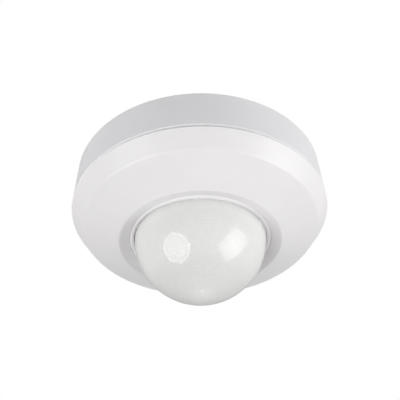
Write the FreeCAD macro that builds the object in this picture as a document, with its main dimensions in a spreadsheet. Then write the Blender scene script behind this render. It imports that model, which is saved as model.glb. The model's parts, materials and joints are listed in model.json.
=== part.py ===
import FreeCAD, Part
import math
import os
import re
import Sketcher
from FreeCAD import Rotation, Vector

# A mains presence detector that hangs under a ceiling, in millimetres. The origin is the centre of the
# face that lies against the ceiling and +Z points up into it, so every height below is a depth, measured
# down from that face. The installer takes the front cover and its lens off from below with a short turn.

DIMS = {
    # base housing: a shallow drum with a closed top
    "drum_top_radius": 56.5,
    "drum_rim_radius": 57.4,
    "drum_depth": 19.2,
    "drum_rim_fillet": 0.5,
    "shell": 2.2,
    "slot_offset": 42,
    "slot_length": 12,
    "slot_radius": 2.25,
    "boss_radius": 3.4,
    "rear_boss_side": 30.4,
    "rear_boss_back": 30.4,
    "front_boss_side": 37.2,
    "front_boss_back": -21.5,
    "web_width": 1.2,
    "web_depth": 10.4,
    "web_start": 45,
    "pilot_spare": 1.4,
    # bayonet between the drum and the front cover
    "spigot_radius": 54.4,
    "spigot_wall": 1.8,
    "spigot_depth": 11,
    "peg_radius": 1.6,
    "peg_depth": 15.5,
    "peg_reach": 52.9,
    "peg_root": 56,
    "ramp_pitch": 90,
    "ramp_width": 3.7,
    "ramp_rise": 7.5,
    "ramp_lead": 2.1,
    "ramp_overcut": 1,
    # front cover
    "seam_gap": 0.8,
    "seam_ledge_radius": 56.4,
    "seam_ledge_gap": 0.15,
    "cover_radius": 57.5,
    "cover_lip": 0.6,
    "band_edge_radius": 52.4,
    "band_edge_depth": 28,
    "band_fillet": 1.6,
    "cone_edge_radius": 35.8,
    "cone_edge_depth": 35.1,
    "cone_fillet": 1,
    "sink_radius": 31.3,
    "sink_depth": 33.6,
    "bead_radius": 31.1,
    "bead_inner_radius": 29.3,
    "bead_depth": 33.8,
    "bead_draft": 0.3,
    "bead_shoulder": 0.25,
    "bead_crest": 0.9,
    "groove_depth": 33.3,
    "lens_seat_radius": 34.6,
    "lens_wall_radius": 36,
    "lens_wall_depth": 28.4,
    "cone_wall": 2.3,
    "band_wall": 1.3,
    "band_corner": 1.6,
    "band_inner_rise": 3.8,
    "cover_rib_reach": 44.5,
    "cover_rib_depth": 29.2,
    "cover_rib_width": 1.2,
    "cover_rib_toe": 1,
    "cover_rib_root": 0.5,
    "cover_rib_sink": 1.3,
    # domed lens
    "dome_radius": 29,
    "dome_wall": 0.8,
    "dome_depth": 32.5,
    "flange_radius": 34.3,
    "flange_depth": 29.55,
    "flange_thickness": 0.95,
    "key_width": 3,
    "key_radius": 33.1,
    "key_clearance": 0.2,
    "key_thickness": 0.6,
    "key_height": 1.4,
    "key_root": 0.5,
    "key_notch_length": 2.2,
    # circuit boards
    "board_radius": 49.5,
    "board_depth": 19.6,
    "board_thickness": 1.6,
    "board_flat": 33,
    "driver_notch_side": 34.5,
    "driver_notch_width": 12,
    "sensor_board_radius": 27,
    "sensor_board_depth": 25,
    "sensor_board_thickness": 1.2,
    "sensor_screw_side": 20.5,
    "sensor_post_radius": 2.6,
    "sensor_pilot_length": 2.8,
    # inner chassis
    "chassis_radius": 51.2,
    "chassis_rim_depth": 20.4,
    "chassis_plate_depth": 24,
    "chassis_plate": 1.4,
    "chassis_flat": 34.5,
    "chassis_wall": 1.3,
    "chassis_corner": 2,
    "chassis_inner_corner": 1.1,
    "well_radius": 31.7,
    "well_wall": 1.8,
    "well_floor_depth": 27.9,
    "well_floor": 1.3,
    "well_rim_depth": 29.5,
    # screws
    "long_screw_radius": 1.3,
    "long_screw_length": 13.4,
    "long_head_radius": 2.6,
    "long_head_height": 1.8,
    "small_screw_radius": 1.1,
    "small_head_radius": 1.9,
    "small_head_height": 1.4,
    "recess_width": 0.8,
    "recess_depth": 0.9,
    "recess_reach": 1.2,
    "clamp_screw_length": 7,
    "block_screw_length": 12.8,
    "sensor_screw_length": 3.6,
    # mains cable entry and its clamp
    "cable_side": 22,
    "cable_back": -40,
    "cable_hole_radius": 6.5,
    "grommet_bore_radius": 4.5,
    "grommet_flange_radius": 8.5,
    "grommet_lip_depth": 5,
    "grommet_recess": 0.2,
    "grommet_flange_height": 1.2,
    "grommet_lip": 1.5,
    "clamp_side": 11.5,
    "clamp_span": 11.5,
    "clamp_back": -40.25,
    "clamp_length": 17,
    "clamp_width": 5,
    "clamp_depth": 7.4,
    "clamp_thickness": 2.2,
    "tooth_side": 1.2,
    "tooth_reach": 0.6,
    "tooth_width": 0.8,
    "tooth_length": 4,
    "post_radius": 2.8,
    # terminal block
    "pole_pitch": 9,
    "block_side": -7.5,
    "block_back": -40.3,
    "block_width": 11.4,
    "block_depth": 4.2,
    "block_height": 12,
    "block_screw_back": 3.1,
    "block_screw_seat": 10,
    "entry_width": 4.6,
    "entry_height": 2.7,
    "entry_rise": 0.4,
    "entry_length": 6,
    "entry_back": 5,
    "head_chamber_height": 1.8,
    "driver_hole_radius": 1.7,
    "driver_hole_length": 5,
    "pole_back": -40,
    "cage_width": 5,
    "cage_height": 6,
    "cage_depth": 5.4,
    "cage_wall": 0.8,
    "cage_floor": 1.2,
    "cage_travel": 2,
    "pole_screw_radius": 1.25,
    "pole_head_radius": 2,
    "pole_head_height": 1.4,
    "pole_head_depth": 13.8,
    "pole_slot": 0.7,
    "pole_screw_gap": 0.4,
    "bar_depth": 8.6,
    "bar_length": 9,
    "bar_width": 3,
    "bar_thickness": 1,
    "lead_radius": 1.1,
    "lead_bend": 3,
    "lead_landing": -28,
    "lead_hole_length": 4,
    # setting knobs and their trimmers
    "knob_side": 20.5,
    "knob_back": 35.5,
    "knob_middle_back": 41,
    "knob_radius": 3.8,
    "knob_depth": 25.6,
    "knob_height": 2.6,
    "knob_chamfer": 0.5,
    "knob_slot_depth": 1.1,
    "knob_slot_width": 1.1,
    "knob_slot_length": 5.2,
    "pointer_depth": 0.4,
    "pointer_inset": 0.7,
    "pointer_width": 0.6,
    "pointer_length": 0.8,
    "grip_offset": 0.35,
    "grip_radius": 0.6,
    "shaft_radius": 2.55,
    "shaft_top_depth": 21.7,
    "trimmer_size": 8,
    "trimmer_height": 2.7,
    # relay
    "relay_side": -20,
    "relay_back": 10,
    "relay_length": 19.2,
    "relay_width": 15.4,
    "relay_depth": 4.3,
    "relay_wall": 0.8,
    "relay_floor_depth": 18.1,
    "coil_side": -23.8,
    "coil_depth": 8.2,
    "coil_height": 8.7,
    "coil_radius": 4,
    "coil_flange": 0.5,
    "coil_flange_height": 0.7,
    "core_radius": 1.8,
    "core_depth": 7.6,
    "yoke_width": 9,
    "yoke_plate": 1.2,
    "yoke_left": -28.4,
    "yoke_right": -17.2,
    "yoke_top_depth": 7,
    "armature_depth": 6,
    "armature_thickness": 0.8,
    "armature_right": -15.2,
    "armature_width": 8,
    "contact_leaf": 0.3,
    "contact_width": 4,
    "contact_tail": 1.4,
    "contact_depth": 12.5,
    "contact_radius": 1,
    "contact_gap": 0.52,
    "rivet_length": 0.5,
    "strip_thickness": 0.5,
    "strip_rise": 2,
    # power supply parts
    "stand_off": 0.5,
    "dropper_side": 10,
    "dropper_back": -20,
    "dropper_length": 18,
    "dropper_width": 8.5,
    "dropper_height": 14,
    "dropper_pitch": 15,
    "can_crimp": 0.4,
    "can_waist": 2,
    "bulk_side": 26,
    "bulk_back": 12,
    "bulk_radius": 5,
    "bulk_height": 12.5,
    "filter_side": 14,
    "filter_back": 26,
    "filter_radius": 3.15,
    "filter_height": 11,
    "varistor_side": -8,
    "varistor_back": -20,
    "varistor_radius": 5,
    "varistor_thickness": 4,
    "varistor_height": 6.5,
    "varistor_pitch": 5,
    "fuse_side": -22,
    "fuse_back": -18,
    "fuse_height": 2.2,
    "fuse_radius": 1.8,
    "fuse_length": 10,
    "fuse_pitch": 14,
    "bridge_side": 4,
    "bridge_back": -4,
    "bridge_length": 8.4,
    "bridge_width": 6.4,
    "bridge_height": 3.2,
    "bridge_stand": 0.8,
    "bridge_pitch": 5,
    "bridge_leg_length": 1,
    "bridge_leg_width": 0.5,
    "regulator_side": 2,
    "regulator_back": 12,
    "driver_side": -2,
    "driver_back": 26,
    "transistor_radius": 2.3,
    "transistor_height": 4.6,
    "transistor_flat": 1.3,
    "transistor_stand": 2.6,
    # link between the boards, and the chip
    "pin_pitch": 2.54,
    "pin_width": 0.64,
    "pin_root": 0.5,
    "link_back": -19,
    "link_width": 2.5,
    "link_height": 2.5,
    "chip_side": 8,
    "chip_back": 11,
    "chip_length": 10,
    "chip_width": 4,
    "chip_height": 1.5,
    "chip_stand": 0.2,
    "foot_width": 0.4,
    "foot_length": 1.4,
    "foot_height": 0.8,
    "foot_back": 2.6,
    # sensing elements
    "pir_radius": 4.55,
    "pir_wall": 0.4,
    "pir_header_depth": 27,
    "pir_header_thickness": 0.8,
    "pir_can_height": 4.2,
    "pir_lip": 0.1,
    "pir_pin_circle": 2.54,
    "hatch_length": 4,
    "hatch_width": 3,
    "window_lap": 0.4,
    "window_thickness": 0.4,
    "carrier_length": 5,
    "carrier_width": 3,
    "carrier_height": 1.4,
    "plate_side": 1.2,
    "plate_length": 1,
    "plate_width": 2,
    "plate_thickness": 0.3,
    "eye_side": 12,
    "eye_stand": 0.2,
    "photocell_radius": 2.5,
    "photocell_height": 1.8,
    "photocell_pitch": 2.4,
    "lamp_radius": 1.5,
    "lamp_height": 2.4,
    "lamp_pitch": 1.8,
    "wire_radius": 0.25,
    # clearances, and how far one piece of a solid or one cutter runs past another
    "tight_clearance": 0.05,
    "close_clearance": 0.1,
    "hole_clearance": 0.2,
    "loose_clearance": 0.3,
    "can_clearance": 0.6,
    "overlap": 0.1,
    "overcut": 1,
    "through_cut": 10,
}

NODES = {}

doc = FreeCAD.newDocument("motion_sensor")
sheet = doc.addObject("Spreadsheet::Sheet", "dims")
for row, (alias, cell) in enumerate(DIMS.items(), start=1):
    sheet.set(f"A{row}", alias)
    sheet.set(f"B{row}", str(cell))
    sheet.setAlias(f"B{row}", alias)
doc.recompute()


# Sizes: each is a number or a sum of the sheet's aliases, and reaches its object as a formula.

def formula(size):
    return re.sub(r"[a-z_]+", lambda word: f"dims.{word[0]}" if word[0] in DIMS else word[0], str(size))


def number(size):
    return float(sheet.evalExpression(formula(size)))


def bind(item, sizes):
    for name, size in sizes.items():
        item.setExpression(name, formula(size))


def place(item, x, y, z=0):
    bind(item, {"Placement.Base.x": x, "Placement.Base.y": y, "Placement.Base.z": z})
    return item


def node(name, item):
    item.Label = name
    NODES[name] = item
    return item


# Solids from primitives. Each hangs from a depth, and x and y are its centre line.

def block(name, x, y, depth, length, width, height):
    item = doc.addObject("Part::Box", name)
    bind(item, {"Length": length, "Width": width, "Height": height})
    return place(item, f"({x}) - ({length}) / 2", f"({y}) - ({width}) / 2", f"-({depth}) - ({height})")


def rod(name, x, y, depth, radius, height):
    item = doc.addObject("Part::Cylinder", name)
    bind(item, {"Radius": radius, "Height": height})
    return place(item, x, y, f"-({depth}) - ({height})")


def rod_along(name, direction, x, y, depth, radius, length):
    item = doc.addObject("Part::Cylinder", name)
    item.Placement.Rotation = Rotation(Vector(0, 0, 1), direction)
    bind(item, {"Radius": radius, "Height": length})
    return place(item, x, y, f"-({depth})")


def ball(name, x, y, depth, radius):
    item = doc.addObject("Part::Sphere", name)
    bind(item, {"Radius": radius})
    return place(item, x, y, f"-({depth})")


def fuse(name, *items):
    joined = doc.addObject("Part::MultiFuse", name)
    joined.Shapes = list(items)
    joined.Refine = True
    return joined


def cut(name, solid, *tools):
    result = doc.addObject("Part::Cut", name)
    result.Base = solid
    result.Tool = tools[0] if len(tools) == 1 else fuse(f"{name}_tools", *tools)
    result.Refine = True
    return result


def group(name, items):
    bunch = doc.addObject("Part::Compound", name)
    bunch.Links = list(items)
    return bunch


def wires(name, spots, depth, height):
    return [rod(f"{name}_wire", x, y, depth, "wire_radius", height) for x, y in spots]


# Sketches, with every corner, centre and radius held by the sheet.

def hold(sketch, constraint, size):
    index = sketch.addConstraint(constraint)
    sketch.setExpression(f"Constraints[{index}]", formula(size))


def hold_point(sketch, item, point, x=None, y=None):
    for kind, size in (("DistanceX", x), ("DistanceY", y)):
        if size is not None:
            hold(sketch, Sketcher.Constraint(kind, -1, 1, item, point, number(size)), size)


def outline(sketch, corners, arc_centres=None, closed=True):
    """Straight sides between the corners, or an arc where arc_centres gives the side a centre."""
    first = sketch.GeometryCount
    places = [Vector(number(x), number(y), 0) for x, y in corners]
    count = len(corners) if closed else len(corners) - 1
    ends = []
    for side in range(count):
        start, end = places[side], places[(side + 1) % len(places)]
        if arc_centres and side in arc_centres:
            centre = Vector(*[number(size) for size in arc_centres[side]], 0)
            angles = [math.atan2(spot.y - centre.y, spot.x - centre.x) for spot in (start, end)]
            forward = (angles[1] - angles[0]) % (2 * math.pi) < math.pi
            circle_of_arc = Part.Circle(centre, Vector(0, 0, 1), (start - centre).Length)
            sketch.addGeometry(Part.ArcOfCircle(circle_of_arc, *(angles if forward else angles[::-1])))
            ends.append((1, 2) if forward else (2, 1))
        else:
            sketch.addGeometry(Part.LineSegment(start, end))
            ends.append((1, 2))
    for side in range(count):
        after = (side + 1) % count
        if closed or after:
            sketch.addConstraint(Sketcher.Constraint(
                "Coincident", first + side, ends[side][1], first + after, ends[after][0]))
        hold_point(sketch, first + side, ends[side][0], *corners[side])
    if not closed:
        hold_point(sketch, first + count - 1, ends[-1][1], *corners[-1])
    for side, centre in (arc_centres or {}).items():
        hold_point(sketch, first + side, 3, x=centre[0])


def circle(sketch, x, y, radius):
    index = sketch.addGeometry(Part.Circle(Vector(number(x), number(y), 0), Vector(0, 0, 1), number(radius)))
    hold_point(sketch, index, 3, x, y)
    hold(sketch, Sketcher.Constraint("Radius", index, number(radius)), radius)


def rectangle(sketch, x, y, length, width):
    sides = [f"({x}) {sign} ({length}) / 2" for sign in "-+"]
    backs = [f"({y}) {sign} ({width}) / 2" for sign in "-+"]
    outline(sketch, [(sides[0], backs[0]), (sides[1], backs[0]), (sides[1], backs[1]), (sides[0], backs[1])])


def slotted_hole(sketch, x, y, length, radius):
    """A slot along X. Each round end is drawn as two quarter circles."""
    near, far = f"({x}) - ({length}) / 2 + ({radius})", f"({x}) + ({length}) / 2 - ({radius})"
    left, right = f"({x}) - ({length}) / 2", f"({x}) + ({length}) / 2"
    low, high = f"({y}) - ({radius})", f"({y}) + ({radius})"
    corners = [(near, low), (far, low), (right, y), (far, high), (near, high), (left, y)]
    outline(sketch, corners, {1: (far, y), 2: (far, y), 4: (near, y), 5: (near, y)})


def radial_strip(sketch, angle, inner, outer, width):
    """A narrow rectangle that runs outwards from the axis at an angle."""
    def corner(radius, side):
        return (f"({radius}) * cos({angle}) - ({side}) * sin({angle})",
                f"({radius}) * sin({angle}) + ({side}) * cos({angle})")
    half = f"({width}) / 2"
    outline(sketch, [corner(inner, f"-{half}"), corner(outer, f"-{half}"),
                     corner(outer, half), corner(inner, half)])


# Bodies and their features.

def new_body(name, x=0, y=0):
    body = doc.addObject("PartDesign::Body", name)
    return node(name, place(body, x, y))


def origin(body, role):
    return next(item for item in body.Origin.OriginFeatures if item.Role == role)


def new_sketch(body, name, role, offset=0):
    sketch = body.newObject("Sketcher::SketchObject", name)
    sketch.AttachmentSupport = [(origin(body, role), "")]
    sketch.MapMode = "FlatFace"
    bind(sketch, {"AttachmentOffset.Base.z": offset})
    return sketch


def draw(body, name, depth, shapes):
    sketch = new_sketch(body, f"{name}_outline", "XY_Plane", f"-({depth})")
    for shape, *sizes in shapes:
        shape(sketch, *sizes)
    return sketch


def pad(body, name, depth, height, *shapes):
    feature = body.newObject("PartDesign::Pad", name)
    feature.Profile = draw(body, name, depth, shapes)
    bind(feature, {"Length": height})
    feature.Reversed = True
    return feature


def pocket(body, name, depth, height, *shapes):
    feature = body.newObject("PartDesign::Pocket", name)
    feature.Profile = draw(body, name, depth, shapes)
    bind(feature, {"Length": height})
    return feature


def revolve(body, name, corners, arc_centres=None):
    """Turn an outline of (radius, depth) corners about the body's vertical axis."""
    sketch = new_sketch(body, f"{name}_outline", "XZ_Plane")
    centres = {side: (radius, f"-({depth})") for side, (radius, depth) in (arc_centres or {}).items()}
    outline(sketch, [(radius, f"-({depth})") for radius, depth in corners], centres)
    feature = body.newObject("PartDesign::Revolution", name)
    feature.Profile = sketch
    feature.ReferenceAxis = (sketch, ["V_Axis"])
    feature.Angle = 360
    return feature


def repeat_round(body, name, features, count):
    feature = body.newObject("PartDesign::PolarPattern", name)
    feature.Originals = features
    feature.Axis = (origin(body, "Z_Axis"), [""])
    feature.Angle = 360
    feature.Occurrences = count
    body.Tip = feature
    return feature


def round_edge(body, name, feature, radius, edge_radius, edge_depth):
    """Fillet the one circular edge that has this radius and lies at this depth."""
    doc.recompute()
    found = []
    for index, edge in enumerate(feature.Shape.Edges, start=1):
        if isinstance(edge.Curve, Part.Circle):
            size_error = abs(edge.Curve.Radius - number(edge_radius))
            depth_error = abs(edge.Curve.Center.z + number(edge_depth))
            if size_error < 0.001 and depth_error < 0.001:
                found.append(f"Edge{index}")
    fillet = body.newObject("PartDesign::Fillet", name)
    fillet.Base = (feature, found)
    bind(fillet, {"Radius": radius})
    return fillet


def turned(name, x, y, corners, arc_centres=None):
    body = new_body(name, x, y)
    revolve(body, "turning", corners, arc_centres)
    return body


def screw(name, x, y, seat, size, length, upwards=True):
    """A pan-head screw with a cross recess. Its head hangs under the seat, or stands on it."""
    radius, head_radius, head_height = f"{size}_screw_radius", f"{size}_head_radius", f"{size}_head_height"
    if upwards:
        shank_depth, head_depth = f"({seat}) - ({length})", seat
        recess_depth = f"({seat}) + {head_height} - recess_depth"
    else:
        shank_depth, head_depth = seat, f"({seat}) - {head_height}"
        recess_depth = head_depth
    shank = rod(f"{name}_shank", x, y, shank_depth, radius, length)
    head = rod(f"{name}_head", x, y, head_depth, head_radius, head_height)
    reach = f"{head_radius} * recess_reach"
    arms = [block(f"{name}_recess", x, y, recess_depth, *spread, "recess_depth")
            for spread in ((reach, "recess_width"), ("recess_width", reach))]
    return cut(f"{name}_screw", fuse(f"{name}_blank", shank, head), *arms)


BOSSES = [("-rear_boss_side", "rear_boss_back"), ("rear_boss_side", "rear_boss_back"),
          ("-front_boss_side", "front_boss_back"), ("front_boss_side", "front_boss_back")]
WEB_ANGLES = (45, 135, -30, -150)
CLAMP_POSTS = [("clamp_side", f"clamp_back {sign} clamp_span / 2") for sign in "-+"]
POLES = {"live": "block_side - pole_pitch", "neutral": "block_side", "load": "block_side + pole_pitch"}
BLOCK_SCREWS = [(f"block_side {sign} pole_pitch / 2", "pole_back + block_screw_back") for sign in "-+"]
SENSOR_SCREWS = [("-sensor_screw_side", 0), ("sensor_screw_side", 0)]
KNOBS = {"time": ("-knob_side", "knob_back"), "lux": (0, "knob_middle_back"),
         "sens": ("knob_side", "knob_back")}
FLANGE_BOTTOM = "flange_depth + flange_thickness"
BOARD_BOTTOM = "board_depth + board_thickness"
CHASSIS_BOTTOM = "chassis_plate_depth + chassis_plate"
SENSOR_BOARD_BOTTOM = "sensor_board_depth + sensor_board_thickness"
HEADER_GAP = "pir_header_depth - sensor_board_depth - sensor_board_thickness"
CAVITY_DEPTH = "cage_depth - close_clearance * 2"
HEAD_CHAMBER_DEPTH = "pole_head_depth - close_clearance * 2"
BLOCK_SCREW_SEAT = "block_depth + block_screw_seat"


def both_sides(distance, width, length):
    """The two rectangles that lie beyond this distance on the left and on the right."""
    middle = f"{distance} + {length} / 2"
    return [(rectangle, f"{sign}({middle})", 0, length, width) for sign in ("-", "")]


# Housing, cover and lens.

def base_housing():
    body = new_body("base_housing")
    drum = revolve(body, "drum", [
        (0, 0), ("drum_top_radius", 0), ("drum_rim_radius", "drum_depth"),
        ("drum_rim_radius - shell", "drum_depth"), ("drum_top_radius - shell + overlap", "shell"),
        (0, "shell")])
    round_edge(body, "rim_fillet", drum, "drum_rim_fillet", "drum_rim_radius", "drum_depth")
    pad(body, "board_bosses", "shell / 2", "board_depth - shell / 2",
        *[(circle, x, y, "boss_radius") for x, y in BOSSES])
    for side, angle in enumerate(WEB_ANGLES):
        pad(body, f"boss_web_{side}", "shell / 2", "web_depth - shell / 2",
            (radial_strip, angle, "web_start", "drum_top_radius - shell / 2", "web_width"))
    pad(body, "clamp_posts", "shell / 2", "clamp_depth - shell / 2",
        *[(circle, x, y, "post_radius") for x, y in CLAMP_POSTS])
    pad(body, "block_pad", "shell / 2", "block_depth - shell / 2",
        (rectangle, "block_side", "block_back", "pole_pitch * 3", "block_width"))
    peg_sketch = new_sketch(body, "peg_outline", "YZ_Plane", "peg_reach")
    circle(peg_sketch, 0, "-peg_depth", "peg_radius")
    peg = body.newObject("PartDesign::Pad", "peg")
    peg.Profile = peg_sketch
    bind(peg, {"Length": "peg_root - peg_reach"})
    repeat_round(body, "bayonet_pegs", [peg], 3)
    pocket(body, "ceiling_slots", 0, "shell",
           *[(slotted_hole, side, 0, "slot_length", "slot_radius")
             for side in ("-slot_offset", "slot_offset")])
    pocket(body, "cable_hole", 0, "shell", (circle, "cable_side", "cable_back", "cable_hole_radius"))
    pocket(body, "boss_pilots", f"{CHASSIS_BOTTOM} - long_screw_length - pilot_spare", "long_screw_length",
           *[(circle, x, y, "long_screw_radius + tight_clearance") for x, y in BOSSES])
    pocket(body, "post_pilots", "shell / 2", "clamp_depth",
           *[(circle, x, y, "small_screw_radius + tight_clearance") for x, y in CLAMP_POSTS])
    pocket(body, "block_pilots", "shell / 2", "block_depth",
           *[(circle, x, y, "small_screw_radius + tight_clearance") for x, y in BLOCK_SCREWS])


def front_cover():
    body = new_body("front_cover")
    top = "drum_depth + seam_gap"
    ledge = "drum_depth + seam_ledge_gap"
    seat = f"{FLANGE_BOTTOM} + tight_clearance"
    spigot_inside = "spigot_radius - spigot_wall"
    turning = revolve(body, "shell_turning", [
        ("spigot_radius", "spigot_depth"), ("spigot_radius", ledge), ("seam_ledge_radius", ledge),
        ("seam_ledge_radius", top), ("cover_radius - cover_lip", top),
        ("cover_radius", f"{top} + cover_lip"), ("band_edge_radius", "band_edge_depth"),
        ("cone_edge_radius", "cone_edge_depth"), ("sink_radius", "sink_depth"),
        ("bead_radius", "groove_depth"), ("bead_radius - bead_draft", "bead_depth - bead_shoulder"),
        ("bead_radius - bead_crest", "bead_depth"), ("bead_inner_radius", "bead_depth - bead_shoulder"),
        ("bead_inner_radius", seat), ("lens_seat_radius", seat), ("lens_seat_radius", "lens_wall_depth"),
        ("lens_wall_radius", "lens_wall_depth"), ("lens_wall_radius", "cone_edge_depth - cone_wall"),
        ("band_edge_radius - band_wall", "band_edge_depth - band_corner"),
        (spigot_inside, "band_edge_depth - band_inner_rise"), (spigot_inside, "spigot_depth")])
    band = round_edge(body, "band_fillet", turning, "band_fillet", "band_edge_radius", "band_edge_depth")
    round_edge(body, "cone_fillet", band, "cone_fillet", "cone_edge_radius", "cone_edge_depth")
    rib_start = "lens_wall_radius - cover_rib_root"
    rib_sketch = new_sketch(body, "rib_outline", "XZ_Plane", "-cover_rib_width / 2")
    outline(rib_sketch, [(rib_start, "-cover_rib_depth"), ("cover_rib_reach", "-cover_rib_depth"),
                         ("cover_rib_reach", "-cover_rib_depth - cover_rib_toe"),
                         (rib_start, "-cone_edge_depth + cover_rib_sink")])
    rib = body.newObject("PartDesign::Pad", "rib")
    rib.Profile = rib_sketch
    bind(rib, {"Length": "cover_rib_width"})
    repeat_round(body, "ribs", [rib], 6)
    ramp_sketch = new_sketch(body, "ramp_outline", "XZ_Plane")
    ramp_sketch.AttachmentOffset.Rotation = Rotation(Vector(0, 1, 0), -number("ramp_lead"))
    rectangle(ramp_sketch, "spigot_radius - spigot_wall / 2", "-peg_depth - ramp_lead * ramp_pitch / 360",
              "spigot_wall + ramp_overcut", "ramp_width")
    ramp = body.newObject("PartDesign::SubtractiveHelix", "ramp")
    ramp.Profile = ramp_sketch
    ramp.ReferenceAxis = (origin(body, "Z_Axis"), [""])
    ramp.Mode = "pitch-height-angle"
    bind(ramp, {"Pitch": "ramp_pitch", "Height": "ramp_rise"})
    repeat_round(body, "bayonet_ramps", [ramp], 3)


def dome_lens():
    body = new_body("dome_lens")
    inner = "dome_radius - dome_wall"
    revolve(body, "dome", [
        (0, "dome_depth + dome_radius"), ("dome_radius", "dome_depth"), ("dome_radius", FLANGE_BOTTOM),
        ("flange_radius", FLANGE_BOTTOM), ("flange_radius", "flange_depth"), (inner, "flange_depth"),
        (inner, "dome_depth"), (0, f"dome_depth + {inner}")],
        {0: (0, "dome_depth"), 6: (0, "dome_depth")})
    notch_start = "key_radius - key_thickness / 2 - key_clearance"
    notch = pocket(body, "key_notch", "flange_depth - overcut", "flange_thickness + overcut * 2",
                   (rectangle, 0, f"-({notch_start} + key_notch_length / 2)",
                    "key_width + key_clearance * 2", "key_notch_length"))
    repeat_round(body, "key_notches", [notch], 3)


# Inside frame and boards.

def inner_chassis():
    body = new_body("inner_chassis")
    well_bottom = "well_floor_depth + well_floor"
    inner_wall = "chassis_radius - chassis_wall"
    revolve(body, "frame", [
        ("chassis_radius", "chassis_rim_depth"), ("chassis_radius", f"{CHASSIS_BOTTOM} - chassis_corner"),
        ("chassis_radius - chassis_corner", CHASSIS_BOTTOM), ("well_radius + well_wall", CHASSIS_BOTTOM),
        ("well_radius + well_wall", "well_rim_depth"), ("well_radius", "well_rim_depth"),
        ("well_radius", well_bottom), (0, well_bottom), (0, "well_floor_depth"),
        ("well_radius", "well_floor_depth"), ("well_radius", "chassis_plate_depth"),
        (f"{inner_wall} - chassis_inner_corner", "chassis_plate_depth"),
        (inner_wall, "chassis_plate_depth - chassis_inner_corner"), (inner_wall, "chassis_rim_depth")])
    pad(body, "spacers", BOARD_BOTTOM, "chassis_plate_depth - board_depth - board_thickness + overlap",
        *[(circle, x, y, "boss_radius") for x, y in BOSSES])
    pad(body, "sensor_posts", SENSOR_BOARD_BOTTOM,
        "well_floor_depth - sensor_board_depth - sensor_board_thickness + overlap",
        *[(circle, x, y, "sensor_post_radius") for x, y in SENSOR_SCREWS])
    key = pad(body, "lens_key", "well_rim_depth - key_root", "key_height",
              (rectangle, 0, "-key_radius", "key_width", "key_thickness"))
    repeat_round(body, "lens_keys", [key], 3)
    pocket(body, "terminal_opening", "chassis_rim_depth", "through_cut",
           (rectangle, 0, "-chassis_flat - chassis_radius / 2", "chassis_radius * 2", "chassis_radius"))
    pocket(body, "driver_notches", "chassis_rim_depth", "through_cut",
           *both_sides("driver_notch_side", "driver_notch_width", "chassis_radius"))
    pocket(body, "screw_holes", "chassis_rim_depth", "through_cut",
           *[(circle, x, y, "long_screw_radius + hole_clearance") for x, y in BOSSES])
    pocket(body, "knob_holes", "chassis_rim_depth", "through_cut",
           *[(circle, x, y, "shaft_radius + loose_clearance") for x, y in KNOBS.values()])
    pocket(body, "sensor_pilots", SENSOR_BOARD_BOTTOM, "sensor_pilot_length",
           *[(circle, x, y, "small_screw_radius + tight_clearance") for x, y in SENSOR_SCREWS])
    pocket(body, "sight_holes", SENSOR_BOARD_BOTTOM, "through_cut",
           (circle, 0, 0, "pir_radius + can_clearance"),
           (circle, "-eye_side", 0, "photocell_radius + loose_clearance"),
           (circle, "eye_side", 0, "lamp_radius + loose_clearance"))


def main_board():
    body = new_body("main_pcb")
    pad(body, "blank", "board_depth", "board_thickness", (circle, 0, 0, "board_radius"))
    pocket(body, "terminal_side", "board_depth", "board_thickness",
           (rectangle, 0, "-board_flat - board_radius / 2", "board_radius * 2", "board_radius"))
    pocket(body, "driver_notches", "board_depth", "board_thickness",
           *both_sides("driver_notch_side", "driver_notch_width", "board_radius"))
    pocket(body, "screw_holes", "board_depth", "board_thickness",
           *[(circle, x, y, "long_screw_radius + hole_clearance") for x, y in BOSSES])


def sensor_board():
    body = new_body("sensor_pcb")
    pad(body, "blank", "sensor_board_depth", "sensor_board_thickness", (circle, 0, 0, "sensor_board_radius"))
    pocket(body, "screw_holes", "sensor_board_depth", "sensor_board_thickness",
           *[(circle, x, y, "small_screw_radius + hole_clearance") for x, y in SENSOR_SCREWS])


def screws():
    node("chassis_screws", group("chassis_screws", [
        screw("chassis", x, y, CHASSIS_BOTTOM, "long", "long_screw_length") for x, y in BOSSES]))
    node("cable_clamp_screws", group("cable_clamp_screws", [
        screw("clamp", x, y, "clamp_depth + clamp_thickness", "small", "clamp_screw_length")
        for x, y in CLAMP_POSTS]))
    node("terminal_block_screws", group("terminal_block_screws", [
        screw("block", x, y, BLOCK_SCREW_SEAT, "small", "block_screw_length") for x, y in BLOCK_SCREWS]))
    node("sensor_board_screws", group("sensor_board_screws", [
        screw("sensor", x, y, "sensor_board_depth", "small", "sensor_screw_length", upwards=False)
        for x, y in SENSOR_SCREWS]))


# Mains side: cable entry, clamp and terminals.

def cable_entry():
    neck = "cable_hole_radius - close_clearance"
    turned("cable_grommet", "cable_side", "cable_back", [
        ("grommet_bore_radius", "grommet_recess"), (neck, "grommet_recess"), (neck, "shell"),
        ("grommet_flange_radius", "shell"), ("grommet_flange_radius", "shell + grommet_flange_height"),
        ("grommet_bore_radius + grommet_lip", "grommet_lip_depth"),
        ("grommet_bore_radius", "grommet_lip_depth")])
    bar = block("clamp_bar", "clamp_side", "clamp_back", "clamp_depth", "clamp_width", "clamp_length",
                "clamp_thickness")
    teeth = [block("clamp_tooth", f"clamp_side {sign} tooth_side", "clamp_back", "clamp_depth - tooth_reach",
                   "tooth_width", "tooth_length", "tooth_reach + overlap") for sign in "-+"]
    holes = [rod("clamp_hole", x, y, "clamp_depth - overcut", "small_screw_radius + hole_clearance",
                 "clamp_thickness + overcut * 2") for x, y in CLAMP_POSTS]
    node("cable_clamp", cut("cable_clamp", fuse("clamp_blank", bar, *teeth), *holes))


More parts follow.
